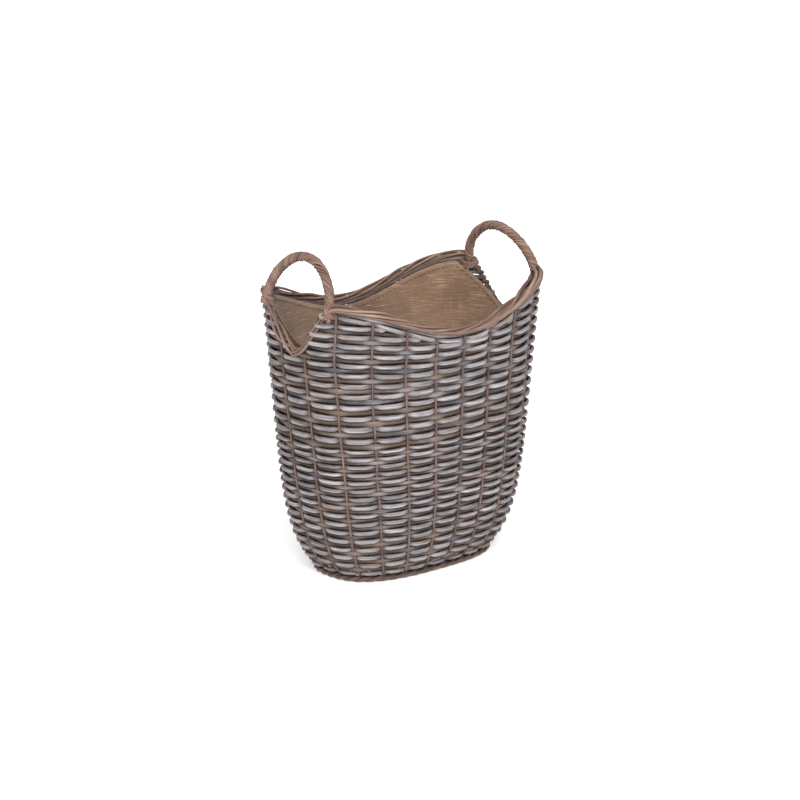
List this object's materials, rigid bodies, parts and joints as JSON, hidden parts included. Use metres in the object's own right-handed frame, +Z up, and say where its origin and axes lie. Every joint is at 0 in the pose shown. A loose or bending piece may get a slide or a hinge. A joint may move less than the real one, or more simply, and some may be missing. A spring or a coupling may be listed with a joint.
{
  "type": "wicker log basket",
  "caption": "Tall oval wicker basket for logs, with a scooped rim, a roped handle over a notch at each end and a hessian lining.",
  "frame": {"origin": "middle of the base, on the floor", "axes": "+X along the basket towards the right-hand handle, +Y across it towards the back, +Z up"},
  "size_m": [0.4878, 0.3278, 0.5713],
  "materials": {
    "willow_weave": "grey-washed willow rods",
    "willow_stake": "red-brown willow stakes",
    "willow_border": "brown willow rods, lightly washed",
    "willow_handle": "dark brown willow rods",
    "willow_foot": "red-brown willow rods",
    "willow_base": "plain willow",
    "hessian_cloth": "coarse tan hessian",
    "jute_twine": "jute twine"
  },
  "bodies": {
    "root": {"foot_border": "willow_foot", "base_weave": "willow_base", "base_stick_cross_1": "willow_base", "base_stick_cross_2": "willow_base", "base_stick_cross_3": "willow_base", "base_stick_cross_4": "willow_base", "base_stick_cross_5": "willow_base", "base_stick_long_1": "willow_base", "base_stick_long_2": "willow_base", "base_stick_long_3": "willow_base", "upsett_wale": "willow_weave", "lower_weave": "willow_weave", "upper_weave": "willow_weave", "side_stake_01": "willow_stake", "side_stake_02": "willow_stake", "side_stake_03": "willow_stake", "side_stake_04": "willow_stake", "side_stake_05": "willow_stake", "side_stake_06": "willow_stake", "side_stake_07": "willow_stake", "side_stake_08": "willow_stake", "side_stake_09": "willow_stake", "side_stake_10": "willow_stake", "side_stake_11": "willow_stake", "side_stake_12": "willow_stake", "side_stake_13": "willow_stake", "side_stake_14": "willow_stake", "side_stake_15": "willow_stake", "side_stake_16": "willow_stake", "side_stake_17": "willow_stake", "side_stake_18": "willow_stake", "side_stake_19": "willow_stake", "side_stake_20": "willow_stake", "side_stake_21": "willow_stake", "side_stake_22": "willow_stake", "front_border": "willow_border", "back_border": "willow_border", "left_end_border": "willow_border", "right_end_border": "willow_border", "handle_bow_left": "willow_handle", "handle_strand_left_1": "willow_handle", "handle_strand_left_2": "willow_handle", "handle_strand_left_3": "willow_handle", "handle_bow_right": "willow_handle", "handle_strand_right_1": "willow_handle", "handle_strand_right_2": "willow_handle", "handle_strand_right_3": "willow_handle", "lining_wall": "hessian_cloth", "lining_base": "hessian_cloth", "lining_stitching": "jute_twine"}
  },
  "joints": []
}
